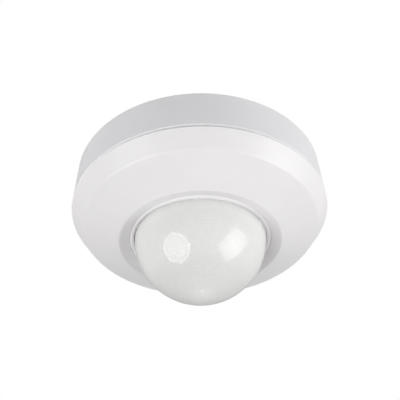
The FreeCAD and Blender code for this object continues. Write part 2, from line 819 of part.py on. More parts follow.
def terminal_block():
    blank = block("terminal_blank", "block_side", "block_back", "block_depth", "pole_pitch * 3",
                  "block_width", "block_height")
    spaces = []
    for x in POLES.values():
        spaces += [
            block("cage_chamber", x, "pole_back", CAVITY_DEPTH, "cage_width + close_clearance * 2",
                  "cage_width + close_clearance * 4", "cage_height + cage_travel + close_clearance * 4"),
            block("wire_entry", x, "pole_back - entry_back", "cage_depth + entry_rise", "entry_width",
                  "entry_length", "entry_height"),
            block("bar_slot", x, "pole_back", "bar_depth - tight_clearance",
                  "bar_width + tight_clearance * 2", "bar_length", "bar_thickness + tight_clearance * 2"),
            rod("head_chamber", x, "pole_back", HEAD_CHAMBER_DEPTH, "pole_head_radius + close_clearance",
                "head_chamber_height"),
            rod("driver_hole", x, "pole_back", HEAD_CHAMBER_DEPTH, "driver_hole_radius",
                "driver_hole_length"),
            rod_along("lead_hole", Vector(0, 1, 0), x, "pole_back + bar_length / 2 - overcut",
                      "bar_depth + bar_thickness / 2", "lead_radius + close_clearance", "lead_hole_length"),
        ]
    for x, y in BLOCK_SCREWS:
        spaces += [
            rod("block_screw_hole", x, y, "block_depth - overcut", "small_screw_radius + close_clearance",
                "block_height + overcut * 2"),
            rod("block_screw_sink", x, y, BLOCK_SCREW_SEAT, "small_head_radius + close_clearance",
                "through_cut"),
        ]
    node("terminal_block", cut("terminal_block", blank, *spaces))


def terminal_pole(name, x):
    """A screw that draws a rising cage down, so that the wire is pressed on the fixed bar."""
    shank_depth = "bar_depth + bar_thickness + pole_screw_gap"
    shank = rod(f"{name}_shank", x, "pole_back", shank_depth, "pole_screw_radius",
                f"pole_head_depth - ({shank_depth})")
    head = rod(f"{name}_head", x, "pole_back", "pole_head_depth", "pole_head_radius", "pole_head_height")
    slot = block(f"{name}_slot", x, "pole_back", "pole_head_depth + pole_head_height - pole_slot",
                 "pole_head_radius * 2 + overcut", "pole_slot", "pole_slot")
    node(f"{name}_screw", cut(f"{name}_screw", fuse(f"{name}_blank", shank, head), slot))
    outer = block(f"{name}_cage_blank", x, "pole_back", "cage_depth", "cage_width", "cage_width",
                  "cage_height")
    window = block(f"{name}_cage_window", x, "pole_back", "cage_depth + cage_wall",
                   "cage_width - cage_wall * 2", "cage_width + overcut * 2",
                   "cage_height - cage_wall - cage_floor")
    thread = rod(f"{name}_cage_thread", x, "pole_back", "cage_depth + cage_wall * 2",
                 "pole_screw_radius + tight_clearance", "cage_height")
    node(f"{name}_cage", cut(f"{name}_cage", outer, window, thread))


def contact_bars():
    bars = [block("contact_bar", x, "pole_back", "bar_depth", "bar_width", "bar_length", "bar_thickness")
            for x in POLES.values()]
    node("contact_bars", group("contact_bars", bars))


def lead(name, x):
    """An insulated wire from the end of a contact bar, over the board's edge and down to its copper."""
    body = new_body(f"lead_{name}", x)
    start, depth = "pole_back + bar_length / 2", "bar_depth + bar_thickness / 2"
    bend_start, bend_end = "lead_landing - lead_bend", f"-({depth}) - lead_bend"
    route = new_sketch(body, "route", "YZ_Plane")
    outline(route, [(start, f"-({depth})"), (bend_start, f"-({depth})"), ("lead_landing", bend_end),
                    ("lead_landing", "-board_depth")], {1: (bend_start, bend_end)}, closed=False)
    section = new_sketch(body, "section", "XZ_Plane", f"-({start})")
    circle(section, 0, f"-({depth})", "lead_radius")
    pipe = body.newObject("PartDesign::AdditivePipe", "wire")
    pipe.Profile = section
    pipe.Spine = route


# Main board components, standing on its upper face.

def relay():
    node("relay_base", block("relay_base", "relay_side", "relay_back", "relay_floor_depth", "relay_length",
                             "relay_width", "board_depth - relay_floor_depth"))
    outer = block("case_blank", "relay_side", "relay_back", "relay_depth", "relay_length", "relay_width",
                  "relay_floor_depth - relay_depth")
    inner = block("case_space", "relay_side", "relay_back", "relay_depth + relay_wall",
                  "relay_length - relay_wall * 2", "relay_width - relay_wall * 2",
                  "relay_floor_depth - relay_depth")
    node("relay_case", cut("relay_case", outer, inner))
    coil_bottom = "coil_depth + coil_height"
    flange, bore = "coil_radius + coil_flange", "core_radius + close_clearance"
    turned("relay_coil", "coil_side", "relay_back", [
        (bore, "coil_depth"), (flange, "coil_depth"), (flange, "coil_depth + coil_flange_height"),
        ("coil_radius", "coil_depth + coil_flange_height"),
        ("coil_radius", f"{coil_bottom} - coil_flange_height"),
        (flange, f"{coil_bottom} - coil_flange_height"), (flange, coil_bottom), (bore, coil_bottom)])
    foot = block("yoke_foot", "(yoke_left + yoke_right) / 2", "relay_back", coil_bottom,
                 "yoke_right - yoke_left", "yoke_width", "yoke_plate")
    back = block("yoke_back", "yoke_right - yoke_plate / 2", "relay_back", "yoke_top_depth", "yoke_plate",
                 "yoke_width", "relay_floor_depth - yoke_top_depth")
    core = rod("yoke_core", "coil_side", "relay_back", "core_depth", "core_radius",
               "relay_floor_depth - core_depth")
    node("relay_yoke", fuse("relay_yoke", foot, back, core))
    node("relay_armature", block("relay_armature", "(yoke_left + armature_right) / 2", "relay_back",
                                 "armature_depth", "armature_right - yoke_left", "armature_width",
                                 "armature_thickness"))
    leaf = block("contact_spring", "armature_right + contact_leaf / 2", "relay_back", "armature_depth",
                 "contact_leaf", "contact_width", "contact_depth + contact_tail - armature_depth")
    rivet_side = "armature_right + contact_leaf"
    rivet = rod_along("moving_rivet", Vector(1, 0, 0), rivet_side, "relay_back", "contact_depth",
                      "contact_radius", "rivet_length")
    node("moving_contact", fuse("moving_contact", leaf, rivet))
    fixed_side = f"{rivet_side} + rivet_length + contact_gap"
    fixed_rivet = rod_along("fixed_rivet", Vector(1, 0, 0), fixed_side, "relay_back", "contact_depth",
                            "contact_radius", "rivet_length")
    strip_side = f"{fixed_side} + rivet_length + strip_thickness / 2 - overlap / 2"
    strip = block("fixed_strip", strip_side, "relay_back", "contact_depth - strip_rise", "strip_thickness",
                  "contact_width", "relay_floor_depth - contact_depth + strip_rise")
    node("fixed_contact", fuse("fixed_contact", fixed_rivet, strip))


def electrolytic(name, x, y, radius, height):
    """A can on its board with the crimped waist that holds its rubber plug."""
    top = f"board_depth - {height}"
    waist = f"{radius} - can_crimp"
    turned(name, x, y, [
        (0, top), (waist, top), (radius, f"{top} + can_crimp"),
        (radius, "board_depth - can_waist - can_crimp"),
        (waist, "board_depth - can_waist"), (radius, "board_depth - can_waist + can_crimp"),
        (radius, "board_depth"), (0, "board_depth")])


def flat_transistor(name, x, y):
    """A small plastic transistor: a round body with one flat side, on three wires."""
    top = "board_depth - transistor_stand - transistor_height"
    round_body = rod(f"{name}_round", x, y, top, "transistor_radius", "transistor_height")
    flat = block(f"{name}_flat", x, f"{y} - transistor_flat - transistor_radius", f"{top} - overcut",
                 "transistor_radius * 3", "transistor_radius * 2", "transistor_height + overcut * 2")
    spots = [(f"{x} + {count} * pin_pitch / 2", y) for count in (-1, 0, 1)]
    legs = wires(name, spots, "board_depth - transistor_stand", "transistor_stand")
    node(name, fuse(name, cut(f"{name}_body", round_body, flat), *legs))


def wire_pair(name, x, y, pitch, height):
    """Two wires that stand on the main board, one on each side of x."""
    spots = [(f"{x} {sign} {pitch} / 2", y) for sign in "-+"]
    return wires(name, spots, f"board_depth - ({height})", height)


def power_parts():
    node("dropper_capacitor", fuse(
        "dropper_capacitor",
        block("dropper_body", "dropper_side", "dropper_back", "board_depth - stand_off - dropper_height",
              "dropper_length", "dropper_width", "dropper_height"),
        *wire_pair("dropper", "dropper_side", "dropper_back", "dropper_pitch", "stand_off")))
    electrolytic("bulk_capacitor", "bulk_side", "bulk_back", "bulk_radius", "bulk_height")
    electrolytic("filter_capacitor", "filter_side", "filter_back", "filter_radius", "filter_height")
    node("varistor", fuse(
        "varistor",
        rod_along("varistor_disc", Vector(0, 1, 0), "varistor_side", "varistor_back - varistor_thickness / 2",
                  "board_depth - varistor_height", "varistor_radius", "varistor_thickness"),
        *wire_pair("varistor", "varistor_side", "varistor_back", "varistor_pitch", "varistor_height / 2")))
    fuse_depth = "board_depth - fuse_height"
    node("fuse_resistor", fuse(
        "fuse_resistor",
        rod_along("fuse_bead", Vector(1, 0, 0), "fuse_side - fuse_length / 2", "fuse_back", fuse_depth,
                  "fuse_radius", "fuse_length"),
        rod_along("fuse_tails", Vector(1, 0, 0), "fuse_side - fuse_pitch / 2", "fuse_back", fuse_depth,
                  "wire_radius", "fuse_pitch"),
        *wire_pair("fuse", "fuse_side", "fuse_back", "fuse_pitch", "fuse_height + wire_radius")))
    legs = [block("bridge_leg", f"bridge_side {across} bridge_pitch / 2",
                  f"bridge_back {along} bridge_pitch / 2", "board_depth - bridge_stand",
                  "bridge_leg_length", "bridge_leg_width", "bridge_stand")
            for across in "-+" for along in "-+"]
    node("bridge_rectifier", fuse(
        "bridge_rectifier",
        block("bridge_body", "bridge_side", "bridge_back", "board_depth - bridge_stand - bridge_height",
              "bridge_length", "bridge_width", "bridge_height"),
        *legs))
    flat_transistor("voltage_regulator", "regulator_side", "regulator_back")
    flat_transistor("driver_transistor", "driver_side", "driver_back")


# Underside of the main board: trimmers, knobs and the link to the sensor board.

def setting(name, x, y):
    case = block(f"{name}_trimmer_case", x, y, BOARD_BOTTOM, "trimmer_size", "trimmer_size", "trimmer_height")
    bore = rod(f"{name}_trimmer_bore", x, y, "shaft_top_depth - hole_clearance",
               "shaft_radius + tight_clearance", "trimmer_height")
    node(f"{name}_trimmer", cut(f"{name}_trimmer", case, bore))
    cap_bottom = "knob_depth + knob_height"
    body = turned(f"{name}_knob", x, y, [
        (0, "shaft_top_depth"), ("shaft_radius", "shaft_top_depth"), ("shaft_radius", "knob_depth"),
        ("knob_radius", "knob_depth"), ("knob_radius", f"{cap_bottom} - knob_chamfer"),
        ("knob_radius - knob_chamfer", cap_bottom), (0, cap_bottom)])
    pocket(body, "driver_slot", f"{cap_bottom} - knob_slot_depth", "knob_height",
           (rectangle, 0, 0, "knob_slot_width", "knob_slot_length"))
    pocket(body, "pointer", f"{cap_bottom} - pointer_depth", "knob_height",
           (rectangle, 0, "knob_radius - pointer_inset", "pointer_width", "pointer_length"))
    grip = pocket(body, "grip", "knob_depth - overcut", "through_cut",
                  (circle, "knob_radius + grip_offset", 0, "grip_radius"))
    repeat_round(body, "grips", [grip], 14)


def board_link():
    housing = block("link_housing", 0, "link_back", BOARD_BOTTOM, "pin_pitch * 5", "link_width",
                    "link_height")
    pin_depth = f"{BOARD_BOTTOM} + link_height - pin_root"
    pins = [block("link_pin", f"{count} * pin_pitch", "link_back", pin_depth, "pin_width", "pin_width",
                  f"sensor_board_depth - ({pin_depth})") for count in range(-2, 3)]
    node("board_header", fuse("board_header", housing, *pins))


# Sensor board components: the chip on top, the sensing parts underneath, looking down into the lens.

def controller_chip():
    body = block("chip_body", "chip_side", "chip_back", "sensor_board_depth - chip_stand - chip_height",
                 "chip_length", "chip_width", "chip_height")
    feet = [block("chip_foot", f"chip_side + {count - 3.5} * pin_pitch / 2", f"chip_back {side} foot_back",
                  "sensor_board_depth - foot_height", "foot_width", "foot_length", "foot_height")
            for count in range(8) for side in "-+"]
    node("controller_chip", fuse("controller_chip", body, *feet))


def pir_sensor():
    can_depth = "pir_header_depth + pir_header_thickness"
    pins = [(f"pir_pin_circle * cos({angle})", f"pir_pin_circle * sin({angle})") for angle in (180, 45, -45)]
    disc = rod("header_disc", 0, 0, "pir_header_depth", "pir_radius + pir_lip", "pir_header_thickness")
    node("pir_header", fuse("pir_header", disc, *wires("header", pins, SENSOR_BOARD_BOTTOM, HEADER_GAP)))
    outer = rod("can_outer", 0, 0, can_depth, "pir_radius", "pir_can_height")
    space = rod("can_space", 0, 0, can_depth, "pir_radius - pir_wall", "pir_can_height - pir_wall")
    hatch = block("can_hatch", 0, 0, can_depth, "hatch_length", "hatch_width", "pir_can_height + overcut")
    node("pir_can", cut("pir_can", outer, space, hatch))
    window_depth = f"{can_depth} + pir_can_height - pir_wall - window_thickness"
    node("pir_window", block("pir_window", 0, 0, window_depth, "hatch_length + window_lap * 2",
                             "hatch_width + window_lap * 2", "window_thickness"))
    plates = [block("pyro_plate", f"{side}plate_side", 0, f"{can_depth} + carrier_height", "plate_length",
                    "plate_width", "plate_thickness") for side in ("-", "")]
    carrier = block("pyro_carrier", 0, 0, can_depth, "carrier_length", "carrier_width", "carrier_height")
    node("pyro_elements", fuse("pyro_elements", carrier, *plates))


def eyes():
    eye_depth = "pir_header_depth + eye_stand"
    wire_length = f"{HEADER_GAP} + eye_stand"
    cell_wires = [(f"-eye_side {sign} photocell_pitch / 2", 0) for sign in "-+"]
    lamp_wires = [(f"eye_side {sign} lamp_pitch / 2", 0) for sign in "-+"]
    disc = rod("photocell_disc", "-eye_side", 0, eye_depth, "photocell_radius", "photocell_height")
    cell_legs = wires("photocell", cell_wires, SENSOR_BOARD_BOTTOM, wire_length)
    node("photocell", fuse("photocell", disc, *cell_legs))
    lamp = rod("lamp_body", "eye_side", 0, eye_depth, "lamp_radius", "lamp_height")
    tip = ball("lamp_tip", "eye_side", 0, f"{eye_depth} + lamp_height", "lamp_radius")
    lamp_legs = wires("lamp", lamp_wires, SENSOR_BOARD_BOTTOM, wire_length)
    node("status_led", fuse("status_led", lamp, tip, *lamp_legs))


def build():
    base_housing()
    front_cover()
    dome_lens()
    inner_chassis()
    main_board()
    sensor_board()
    screws()
    cable_entry()
    terminal_block()
    contact_bars()
    for name, x in POLES.items():
        terminal_pole(name, x)
        lead(name, x)
    relay()
    power_parts()
    for name, (x, y) in KNOBS.items():
        setting(name, x, y)
    board_link()
    controller_chip()
    pir_sensor()
    eyes()
    doc.recompute()


def check():
    """Stop on a failed object, a bad shape, or a cut that took nothing away."""
    for item in doc.Objects:
        if "Invalid" in item.State or "Error" in item.State:
            raise RuntimeError(f"{item.Label} did not build: {item.State}")
        base = getattr(item, "BaseFeature", None) or (item.Base if item.TypeId == "Part::Cut" else None)
        cutting = item.TypeId in ("PartDesign::Pocket", "PartDesign::SubtractiveHelix", "Part::Cut")
        if cutting and item.Shape.Volume > base.Shape.Volume - 0.001:
            raise RuntimeError(f"{item.Label} cuts nothing")
    for name, item in NODES.items():
        if item.Shape.isNull() or not item.Shape.isValid() or not item.Shape.Solids:
            raise RuntimeError(f"{name} is not a sound solid")


def write():
    os.makedirs("parts", exist_ok=True)
    for name, item in NODES.items():
        item.Shape.exportStep(f"parts/{name}.step")
        box = item.Shape.BoundBox
        print(f"{name:24s} solids {len(item.Shape.Solids)} volume {item.Shape.Volume:9.1f} "
              f"z {box.ZMin:7.2f} {box.ZMax:7.2f}")
    print(len(NODES), "nodes")


build()
check()
write()
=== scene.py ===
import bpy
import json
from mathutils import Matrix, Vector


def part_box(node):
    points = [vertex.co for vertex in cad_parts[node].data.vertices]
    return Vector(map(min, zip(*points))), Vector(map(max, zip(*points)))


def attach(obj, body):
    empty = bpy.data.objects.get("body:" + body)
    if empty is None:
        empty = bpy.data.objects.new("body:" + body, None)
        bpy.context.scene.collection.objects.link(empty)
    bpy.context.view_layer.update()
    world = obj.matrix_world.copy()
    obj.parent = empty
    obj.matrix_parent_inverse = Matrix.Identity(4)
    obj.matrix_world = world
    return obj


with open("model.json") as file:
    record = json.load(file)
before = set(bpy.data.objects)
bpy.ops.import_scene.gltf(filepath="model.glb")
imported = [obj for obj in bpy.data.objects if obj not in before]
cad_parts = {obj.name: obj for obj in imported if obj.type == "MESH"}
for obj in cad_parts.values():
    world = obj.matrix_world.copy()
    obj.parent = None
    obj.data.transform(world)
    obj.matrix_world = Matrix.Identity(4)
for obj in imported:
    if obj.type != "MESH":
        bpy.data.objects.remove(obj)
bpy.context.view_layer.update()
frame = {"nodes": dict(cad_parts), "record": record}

import json
import math

import bmesh
import bpy
from mathutils import Quaternion, Vector

# The looks of a ceiling motion sensor. Lengths are metres in the frame's own axes, and MM turns millimetres
# into them. The ceiling face is at z = 0 and the dome hangs below it.

MM = 0.001
UP, DOWN = Vector((0, 0, 1)), Vector((0, 0, -1))


# Node materials.

NOISE_RANGE = (0.3, 0.7)
GRAIN, METAL_GRAIN = 0.12 * MM, 0.4 * MM
GRAIN_DEPTH = 0.004 * MM


class Finish:
    """A material under construction: its shader, and short ways to add the nodes that vary it."""

    def __init__(self, name):
        self.material = bpy.data.materials.new(name)
        self.material.use_nodes = True
        self.tree = self.material.node_tree
        self.shader = self.tree.nodes["Principled BSDF"]
        self.output = self.tree.nodes["Material Output"]
        self.coordinates = self.add("ShaderNodeTexCoord").outputs["Object"]

    def add(self, kind, **settings):
        node = self.tree.nodes.new(kind)
        for name, value in settings.items():
            setattr(node, name, value)
        return node

    def link(self, source, target):
        self.tree.links.new(source, target)

    def set(self, **values):
        for name, value in values.items():
            self.shader.inputs[name.replace("_", " ")].default_value = value

    def noise(self, size, detail=2):
        """Noise whose cells are about `size` metres across."""
        node = self.add("ShaderNodeTexNoise")
        node.inputs["Scale"].default_value = 1 / size
        node.inputs["Detail"].default_value = detail
        self.link(self.coordinates, node.inputs["Vector"])
        return node.outputs["Fac"]

    def between(self, factor, low, high):
        """A number that runs from low to high as the factor runs through the range where noise lies."""
        node = self.add("ShaderNodeMapRange")
        for name, value in zip(("From Min", "From Max", "To Min", "To Max"), (*NOISE_RANGE, low, high)):
            node.inputs[name].default_value = value
        self.link(factor, node.inputs["Value"])
        return node.outputs["Result"]

    def mix(self, factor, first, second):
        node = self.add("ShaderNodeMix", data_type="RGBA")
        for value, socket in ((factor, node.inputs[0]), (first, node.inputs[6]), (second, node.inputs[7])):
            if isinstance(value, bpy.types.NodeSocket):
                self.link(value, socket)
            else:
                socket.default_value = value
        return node.outputs[2]

    def vary_colour(self, first, second, size):
        factor = self.between(self.noise(size), 0, 1)
        self.link(self.mix(factor, (*first, 1), (*second, 1)), self.shader.inputs["Base Color"])

    def vary_roughness(self, low, high, size):
        self.link(self.between(self.noise(size), low, high), self.shader.inputs["Roughness"])

    def bump(self, height, depth, after=None):
        """A relief of that depth in metres, added to any relief that comes before it."""
        node = self.add("ShaderNodeBump")
        node.inputs["Distance"].default_value = depth
        self.link(height, node.inputs["Height"])
        if after:
            self.link(after, node.inputs["Normal"])
        self.link(node.outputs["Normal"], self.shader.inputs["Normal"])
        return node.outputs["Normal"]


def shade(colour, factor):
    return tuple(channel * factor for channel in colour)


def moulded(name, colour, roughness=0.34):
    """Moulded plastic: a fine spark-eroded grain, slow flow marks and faint changes of tone and gloss."""
    finish = Finish(name)
    finish.vary_colour(shade(colour, 0.985), shade(colour, 1.015), 20 * MM)
    finish.vary_roughness(roughness - 0.04, roughness + 0.05, 6 * MM)
    flow = finish.bump(finish.noise(30 * MM), GRAIN_DEPTH * 4)
    finish.bump(finish.noise(GRAIN, 3), GRAIN_DEPTH, flow)
    return finish


def metal(name, colour):
    """Plain metal, a little worn: its tone and gloss vary in small patches."""
    finish = Finish(name)
    finish.set(Metallic=1.0)
    finish.vary_colour(shade(colour, 0.9), colour, 3 * MM)
    finish.vary_roughness(0.24, 0.39, 1 * MM)
    finish.bump(finish.noise(METAL_GRAIN, 3), GRAIN_DEPTH)
    return finish


def fill_ramp(node, steps):
    """Sets a colour ramp's steps: each is a place from 0 to 1 and a level of grey."""
    stops = node.color_ramp.elements
    while len(stops) < len(steps):
        stops.new(0.5)
    for stop, (place, level) in zip(stops, steps):
        stop.position = place
        stop.color = (level, level, level, 1)


WHITE = (0.80, 0.785, 0.793)
DRUM_WHITE = (0.77, 0.77, 0.785)
LENS_LIGHT = (0.985, 0.982, 0.973)
LENS_DARK = (0.952, 0.95, 0.94)
LENS_LINE = (0.905, 0.905, 0.892)
# Painted highlight: the whiter finish of the lens's moulding button, which shows it as a bright dot.
GATE_HIGHLIGHT_WHITE = (0.99, 0.99, 0.985)
COLOURS = {
    "housing_white": DRUM_WHITE, "cover_white": WHITE, "chassis_white": (0.70, 0.70, 0.69),
    "terminal_grey": (0.42, 0.43, 0.44), "grommet_rubber": (0.03, 0.03, 0.032),
    "wire_brown": (0.13, 0.045, 0.02), "wire_blue": (0.02, 0.09, 0.42), "wire_black": (0.012, 0.012, 0.013),
    "relay_blue": (0.02, 0.07, 0.20), "black_resin": (0.015, 0.015, 0.016), "film_yellow": (0.62, 0.36, 0.03),
    "can_sleeve": (0.015, 0.03, 0.08), "varistor_blue": (0.02, 0.10, 0.38),
    "resistor_tan": (0.42, 0.30, 0.17),
    "trimmer_blue": (0.03, 0.12, 0.36), "knob_grey": (0.10, 0.105, 0.115), "ceramic": (0.72, 0.70, 0.62),
    "photocell_face": (0.50, 0.20, 0.05), "led_red": (0.55, 0.02, 0.02), "board_green": (0.012, 0.10, 0.035),
    "filter_glass": (0.08, 0.07, 0.10),
}
METALS = {
    "zinc_steel": (0.72, 0.73, 0.74), "brass": (0.78, 0.58, 0.27), "coil_copper": (0.72, 0.30, 0.12),
    "relay_iron": (0.58, 0.58, 0.57), "contact_bronze": (0.74, 0.52, 0.27), "steel_can": (0.74, 0.74, 0.75),
}


def finishes():
    made = {slot: moulded(slot, colour) for slot, colour in COLOURS.items()}
    made.update({slot: metal(slot, colour) for slot, colour in METALS.items()})
    return made


def dress(piece, finish):
    piece.data.materials.clear()
    piece.data.materials.append(finish.material)


def riding(name, verts, faces, body, slot, crease):
    """A piece that rides on a body: closed solids, smooth where their faces meet within that many degrees."""
    mesh = bpy.data.meshes.new(name)
    mesh.from_pydata(verts, [], faces)
    mesh.validate()
    work = bmesh.new()
    work.from_mesh(mesh)
    bmesh.ops.recalc_face_normals(work, faces=work.faces)
    work.to_mesh(mesh)
    work.free()
    mesh.polygons.foreach_set("use_smooth", [True] * len(mesh.polygons))
    mesh.set_sharp_from_angle(angle=math.radians(crease))
    piece = bpy.data.objects.new(name, mesh)
    bpy.context.scene.collection.objects.link(piece)
    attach(piece, body)
    dress(piece, made[slot])
    return piece


# The lens: the CAD dome keeps its smooth outside. Rows of small square facets are drawn in its body, and a
# liner on its inner face carries them as relief. A row is an angle seen from the dome's centre, counted from
# its lowest point. ZONES gives the first row of each band of facets with its facets per row, from the rim
# inwards, and the table of tones gives degrees from the lowest point with the body's tone there. These tones
# are painted light and shade across the dome, with a painted shadow round its foot.

DOME_RADIUS = 29 * MM
DOME_WALL = 0.8 * MM
ROW = math.radians(3.0)
LAST_ROW = 29
ZONES = ((17, 128), (9, 64), (0, 32))
# Painted light and shade: the lens body's tone at each number of degrees from its lowest point, darkest as a
# painted shadow round the foot.
PAINTED_SHADE_TONES = ((3, 0.95), (14, 0.88), (24, 0.855), (36, 0.86), (50, 0.905), (70, 0.935), (81, 0.96), (85, 0.92),
         (89, 0.75))
LINER_GAP, GROOVE, CROWN = 0.02 * MM, 0.08 * MM, 0.24 * MM
LINE_WIDTH, LINE_SOFTNESS, LINE_RELIEF = 0.08, 0.8, 0.03 * MM
CLOUD_SIZE, CLOUD_SHARE = 9 * MM, 0.35
MILK_SHARE, SOLID_SHARE = 0.12, 0.96
SIDES = 256
DRUM_EDGE = -19.2 * MM


def facets_in_row(row):
    return next(count for first_row, count in ZONES if row >= first_row)


def lens_facets(centre):
    """A thin shell inside the dome, each facet of which bulges inwards between shallow grooves."""
    outer = DOME_RADIUS - DOME_WALL - LINER_GAP
    groove, crown = outer - GROOVE, outer - CROWN
    columns = ZONES[0][1] * 2
    verts, faces = [], []

    def ring(row, radii):
        first, polar = len(verts), ROW * row
        for index, radius in enumerate(radii):
            angle = 2 * math.pi * index / columns
            verts.append((radius * math.sin(polar) * math.cos(angle),
                          radius * math.sin(polar) * math.sin(angle), centre - radius * math.cos(polar)))
        return first

    def join(first, second):
        for index in range(columns):
            after = (index + 1) % columns
            faces.append((first + index, first + after, second + after, second + index))

    plain, flat = [outer] * columns, [groove] * columns
    rings = [(row, plain) for row in (0.5, *range(1, LAST_ROW + 1))] + [(LAST_ROW, flat)]
    for row in reversed(range(1, LAST_ROW)):
        cell = columns // facets_in_row(row)
        shift = cell // 2 * (row % 2)
        bulge = [crown if (index + shift) % cell else groove for index in range(columns)]
        rings.extend(((row + 0.5, bulge), (row, flat)))
    last = ring(*rings[0])
    faces.append(tuple(last + index for index in range(columns)))
    for row, radii in rings[1:]:
        fresh = ring(row, radii)
        join(fresh, last)
        last = fresh
    faces.append(tuple(last + index for index in reversed(range(columns))))
    riding("lens_facets", verts, faces, "lens", "lens_milky", 20)


def turned(name, body, slot, outline, base, across=0.0):
    """A closed ring about the sensor's axis, or one that far across from it.

    Its outline lists radii and heights above the base, in millimetres.
    """
    verts, faces = [], []
    for side in range(SIDES):
        angle = 2 * math.pi * side / SIDES
        for radius, height in outline:
            reach = radius * MM
            verts.append((across + reach * math.cos(angle), reach * math.sin(angle), base + height * MM))
    points = len(outline)
    for side in range(SIDES):
        here, beside = side * points, (side + 1) % SIDES * points
        for point in range(points):
            after = (point + 1) % points
            faces.append((here + point, beside + point, beside + after, here + after))
    riding(name, verts, faces, body, slot, 35)


def lens_foot(centre):
    """The fillet at the foot of the dome, which fills the gap round it in the cover's opening."""
    outline = ((28.7, 1.6), (29.15, 1.6), (29.15, -0.8), (29.08, -1.2), (28.94, -1.5), (28.7, -1.5))
    # The foot lies past the last of the lens body's tones, so it takes the darkest painted shade: a painted
    # shadow round the dome.
    turned("lens_foot", "lens", "lens_milky", outline, centre, across=0.09 * MM)


def seam_lip():
    """A low lip under the drum's edge, which keeps the seam to the cover shallow."""
    outline = ((55.5, 0.4), (56.9, 0.4), (57.0, 0.0), (56.95, -0.55), (55.5, -0.55))
    turned("seam_lip", "base", "housing_white", outline, DRUM_EDGE)


def milky(centre):
    """Polyethylene: a smooth gloss over a milky body in which the facets show as faint cells and lines.

    The body passes a little light, and where it is seen square on a very little shows through it. Its tone is
    multiplied by painted light and shade that change with the angle from the lowest point, with a painted
    shadow round the dome's foot.
    """
    finish = Finish("lens_milky")

    def math_node(operation, first, second=0.0):
        node = finish.add("ShaderNodeMath", operation=operation)
        for socket, value in zip(node.inputs, (first, second)):
            if isinstance(value, bpy.types.NodeSocket):
                finish.link(value, socket)
            else:
                socket.default_value = value
        return node.outputs[0]

    split = finish.add("ShaderNodeSeparateXYZ")
    finish.link(finish.coordinates, split.inputs[0])
    across, along, height = split.outputs
    azimuth = math_node("ARCTAN2", along, across)
    squares = math_node("ADD", math_node("POWER", across, 2.0), math_node("POWER", along, 2.0))
    spread = math_node("SQRT", squares)
    drop = math_node("SUBTRACT", centre, height)
    row = math_node("DIVIDE", math_node("ARCTAN2", spread, drop), ROW)
    count = ZONES[-1][1]
    for (first_row, facets), (_, fewer) in zip(ZONES[:2], ZONES[1:]):
        inside = math_node("GREATER_THAN", row, float(first_row))
        count = math_node("ADD", math_node("MULTIPLY", inside, float(facets - fewer)), count)
    column = math_node("MULTIPLY", azimuth, math_node("DIVIDE", count, 2 * math.pi))
    join = finish.add("ShaderNodeCombineXYZ")
    finish.link(column, join.inputs[0])
    finish.link(row, join.inputs[1])
    cells = finish.add("ShaderNodeTexBrick")
    finish.link(join.outputs[0], cells.inputs["Vector"])
    for name, value in (("Scale", 1.0), ("Mortar Size", LINE_WIDTH), ("Mortar Smooth", LINE_SOFTNESS),
                        ("Bias", 0.0), ("Brick Width", 1.0), ("Row Height", 1.0),
                        ("Color1", (*LENS_LIGHT, 1)), ("Color2", (*LENS_DARK, 1)),
                        ("Mortar", (*LENS_LINE, 1))):
        cells.inputs[name].default_value = value
    cloud = finish.between(finish.noise(CLOUD_SIZE, 3), 0, CLOUD_SHARE)
    facet = finish.mix(cloud, cells.outputs["Color"], (*LENS_LIGHT, 1))
    # Painted light and shade: a ramp of tones by angle from the lowest point, multiplied into the body's
    # colour.
    painted_shade_ramp = finish.add("ShaderNodeValToRGB")
    fill_ramp(painted_shade_ramp, [(degrees / 100, tone) for degrees, tone in PAINTED_SHADE_TONES])
    finish.link(math_node("MULTIPLY", row, math.degrees(ROW) / 100), painted_shade_ramp.inputs["Fac"])
    blend = finish.add("ShaderNodeMix", data_type="RGBA", blend_type="MULTIPLY")
    blend.inputs[0].default_value = 1.0
    finish.link(facet, blend.inputs[6])
    finish.link(painted_shade_ramp.outputs["Color"], blend.inputs[7])
    body = blend.outputs[2]
    finish.link(body, finish.shader.inputs["Base Color"])
    finish.bump(cells.outputs["Fac"], LINE_RELIEF)
    finish.set(Roughness=0.4, IOR=1.45, Specular_IOR_Level=0.0)
    finish.set(Coat_Weight=1.0, Coat_Roughness=0.012, Coat_IOR=1.52)
    milk = finish.add("ShaderNodeBsdfTranslucent")
    finish.link(body, milk.inputs["Color"])
    scatter = finish.add("ShaderNodeMixShader")
    scatter.inputs["Fac"].default_value = MILK_SHARE
    finish.link(finish.shader.outputs["BSDF"], scatter.inputs[1])
    finish.link(milk.outputs["BSDF"], scatter.inputs[2])
    clear = finish.add("ShaderNodeBsdfTransparent")
    facing = finish.add("ShaderNodeLayerWeight")
    facing.inputs["Blend"].default_value = 0.3
    share = finish.add("ShaderNodeMapRange")
    share.inputs["To Min"].default_value = SOLID_SHARE
    share.inputs["To Max"].default_value = 1.0
    finish.link(facing.outputs["Facing"], share.inputs["Value"])
    thin = finish.add("ShaderNodeMixShader")
    finish.link(share.outputs["Result"], thin.inputs["Fac"])
    finish.link(clear.outputs["BSDF"], thin.inputs[1])
    finish.link(scatter.outputs["Shader"], thin.inputs[2])
    finish.link(thin.outputs["Shader"], finish.output.inputs["Surface"])
    return finish


# Small details: each piece is a group of closed solids of one kind. Sizes, radii and heights here are in
# millimetres, and places are vectors in metres.

CHASSIS_FACE = -25.4
HEADER_PITCH = 2.54
SOLDER = ((1.0, -0.05), (0.98, 0.04), (0.6, 0.2), (0.38, 0.5), (0.3, 0.85), (0.12, 0.95))
ROUND_SIDES = 40


